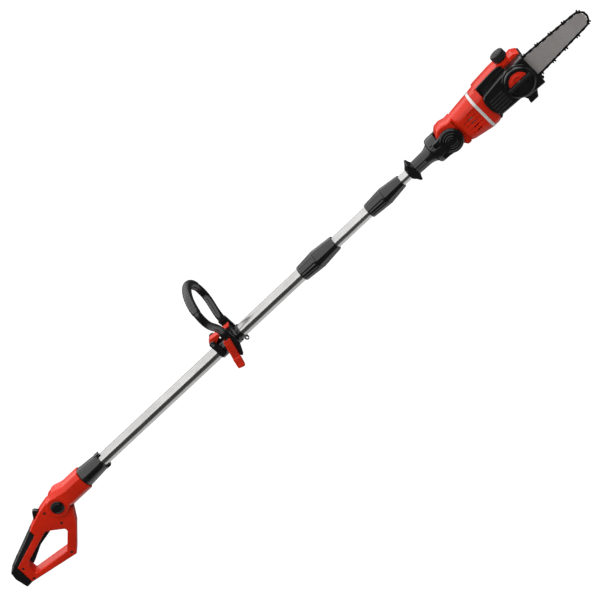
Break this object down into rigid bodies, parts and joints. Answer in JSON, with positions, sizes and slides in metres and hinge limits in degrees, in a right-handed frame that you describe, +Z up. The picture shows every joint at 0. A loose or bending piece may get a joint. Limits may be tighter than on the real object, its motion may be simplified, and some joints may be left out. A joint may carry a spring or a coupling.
{
  "type": "telescoping pole saw",
  "caption": "Corded pole saw: telescoping tubes with twist locks, tilting D handle with trigger, loop handle on a clamp, and a tilting motor head with a chain bar.",
  "frame": {"origin": "centre of the carrying-strap eye under the lower tube, in front of the loop handle", "axes": "+X along the pole towards the saw bar, +Z up, on the side of the loop handle and the oil cap; -Y on the side of the sprocket cover"},
  "size_m": [2.0652, 0.188, 0.3236],
  "materials": {
    "lower_tube_alu": "polished, drawn along the tube",
    "upper_tube_alu": "satin, drawn along the tube",
    "black_plastic": "fine grained moulding",
    "black_gloss": "smooth moulding",
    "inlet_plastic": "satin moulding with plated pins",
    "cap_plastic": "grained moulding",
    "red_shell": "semi-gloss moulding",
    "red_lever": "semi-gloss moulding",
    "soft_rubber": "soft grip, slightly glossy from handling",
    "cable": "smooth sheath",
    "steel": "turned",
    "screw_steel": "black oxide",
    "gear_steel": "oiled, machined",
    "bar_steel": "ground, oiled",
    "chain_steel": "dark, oiled, bright cutting edges",
    "drum_alloy": "die cast",
    "lamination": "stacked plates",
    "rotor_metal": "copper winding on a plated shaft",
    "silver_trim": "metallised",
    "nylon": "natural nylon"
  },
  "bodies": {
    "lower_pole": {"lower_tube": "lower_tube_alu", "socket_sleeve": "black_plastic", "yoke_left": "red_shell", "yoke_right": "red_shell", "hinge_pin": "steel", "strap_ring": "black_plastic", "lower_lock_body": "black_plastic", "lower_lock_collet": "nylon", "inner_cable": "cable"},
    "rear_handle": {"handle_left": "red_shell", "handle_right": "red_shell", "soft_grip": "soft_rubber", "end_cap": "black_plastic", "power_inlet": "inlet_plastic", "hinge_drum": "drum_alloy", "switch_box": "nylon", "trigger_spring": "steel", "handle_screws": "screw_steel"},
    "trigger": {"trigger": "black_gloss"},
    "lock_off_button": {"lock_off_button": "black_gloss"},
    "pivot_button": {"pivot_button": "black_gloss"},
    "lower_lock_nut": {"lower_lock_nut": "black_plastic"},
    "middle_pole": {"middle_tube": "upper_tube_alu", "middle_guide": "nylon", "upper_lock_body": "black_plastic", "upper_lock_collet": "nylon"},
    "upper_lock_nut": {"upper_lock_nut": "black_plastic"},
    "upper_pole": {"upper_tube": "upper_tube_alu", "upper_guide": "nylon", "neck_left": "black_plastic", "neck_right": "black_plastic", "tilt_axle": "steel"},
    "tilt_button": {"tilt_button": "black_gloss"},
    "loop_clamp": {"clamp_upper": "black_plastic", "clamp_lower": "black_plastic", "clamp_pin": "steel"},
    "clamp_lever": {"clamp_lever": "red_lever"},
    "loop_handle": {"loop_frame": "black_plastic", "loop_grip": "soft_rubber", "loop_bolt": "steel"},
    "loop_lever": {"loop_lever": "red_lever"},
    "saw_head": {"motor_left": "red_shell", "motor_right": "red_shell", "trim_ring": "silver_trim", "motor_stator": "lamination", "shaft_bearings": "steel", "gear_housing": "black_plastic", "oil_tank": "red_shell", "sprocket_cover": "black_plastic", "bar_stud": "steel", "guide_bar": "bar_steel", "chain_drive_links": "chain_steel", "chain_side_links": "chain_steel", "chain_cutters": "chain_steel", "spike_bumper": "black_plastic"},
    "motor_rotor": {"motor_rotor": "rotor_metal"},
    "oil_cap": {"oil_cap": "cap_plastic"},
    "drive_gear": {"drive_gear": "gear_steel"},
    "cover_knob": {"cover_knob": "black_gloss"},
    "nose_sprocket": {"nose_sprocket": "gear_steel"}
  },
  "joints": [
    {"name": "handle_tilt", "type": "hinge", "parent": "lower_pole", "child": "rear_handle", "pos_m": [-0.679, 0, 0.0245], "axis": [0, 1, 0], "range_deg": [-45, 20]},
    {"name": "trigger_pull", "type": "hinge", "parent": "rear_handle", "child": "trigger", "pos_m": [-0.76, 0, -0.0115], "axis": [0, 1, 0], "range_deg": [0, 6], "stiffness_Nm_per_rad": 2, "springref_deg": -8.59},
    {"name": "lock_off_press", "type": "slide", "parent": "rear_handle", "child": "lock_off_button", "axis": [0.3159, 0, -0.9488], "range_m": [0, 0.003], "stiffness_N_per_m": 600, "springref_m": -0.004},
    {"name": "pivot_press", "type": "slide", "parent": "lower_pole", "child": "pivot_button", "axis": [0, 1, 0], "range_m": [0, 0.004], "stiffness_N_per_m": 600, "springref_m": -0.006},
    {"name": "lower_lock_turn", "type": "hinge", "parent": "lower_pole", "child": "lower_lock_nut", "pos_m": [0.271, 0, 0.0245], "axis": [1, 0, 0], "range_deg": [0, 120]},
    {"name": "lower_slide", "type": "slide", "parent": "lower_pole", "child": "middle_pole", "axis": [1, 0, 0], "range_m": [-0.1, 0.4]},
    {"name": "upper_lock_turn", "type": "hinge", "parent": "middle_pole", "child": "upper_lock_nut", "pos_m": [0.5, 0, 0.0245], "axis": [1, 0, 0], "range_deg": [0, 120]},
    {"name": "upper_slide", "type": "slide", "parent": "middle_pole", "child": "upper_pole", "axis": [1, 0, 0], "range_m": [-0.02, 0.3]},
    {"name": "tilt_press", "type": "slide", "parent": "upper_pole", "child": "tilt_button", "axis": [0, 1, 0], "range_m": [0, 0.004], "stiffness_N_per_m": 600, "springref_m": -0.006},
    {"name": "head_tilt", "type": "hinge", "parent": "upper_pole", "child": "saw_head", "pos_m": [0.711, 0, 0.0245], "axis": [0, 1, 0], "range_deg": [0, 45]},
    {"name": "clamp_slide", "type": "slide", "parent": "lower_pole", "child": "loop_clamp", "axis": [1, 0, 0], "range_m": [-0.3, 0]},
    {"name": "clamp_lever_open", "type": "hinge", "parent": "loop_clamp", "child": "clamp_lever", "pos_m": [-0.065, 0, 0.0575], "axis": [0, -1, 0], "range_deg": [0, 90]},
    {"name": "loop_tilt", "type": "hinge", "parent": "loop_clamp", "child": "loop_handle", "pos_m": [-0.026, 0, 0.0465], "axis": [0, 1, 0], "range_deg": [-40, 60]},
    {"name": "loop_lever_open", "type": "hinge", "parent": "loop_handle", "child": "loop_lever", "pos_m": [-0.026, -0.047, 0.0465], "axis": [-0.9488, 0, 0.3159], "range_deg": [0, 90]},
    {"name": "oil_cap_turn", "type": "hinge", "parent": "saw_head", "child": "oil_cap", "pos_m": [0.925, -0.008, 0.0845], "axis": [0, 0, 1], "continuous": true},
    {"name": "cover_knob_turn", "type": "hinge", "parent": "saw_head", "child": "cover_knob", "pos_m": [0.921, -0.055, 0.0245], "axis": [0, 1, 0], "continuous": true},
    {"name": "rotor_spin", "type": "hinge", "parent": "saw_head", "child": "motor_rotor", "pos_m": [0.781, 0, 0.0245], "axis": [1, 0, 0], "continuous": true},
    {"name": "gear_spin", "type": "hinge", "parent": "saw_head", "child": "drive_gear", "pos_m": [0.881, -0.01, 0.0245], "axis": [0, 1, 0], "continuous": true},
    {"name": "nose_spin", "type": "hinge", "parent": "saw_head", "child": "nose_sprocket", "pos_m": [1.112, -0.028, 0.0245], "axis": [0, 1, 0], "continuous": true}
  ],
  "couplings": [
    {"joint": "gear_spin", "follows": "rotor_spin", "ratio": -0.2},
    {"joint": "nose_spin", "follows": "rotor_spin", "ratio": -0.1765}
  ]
}
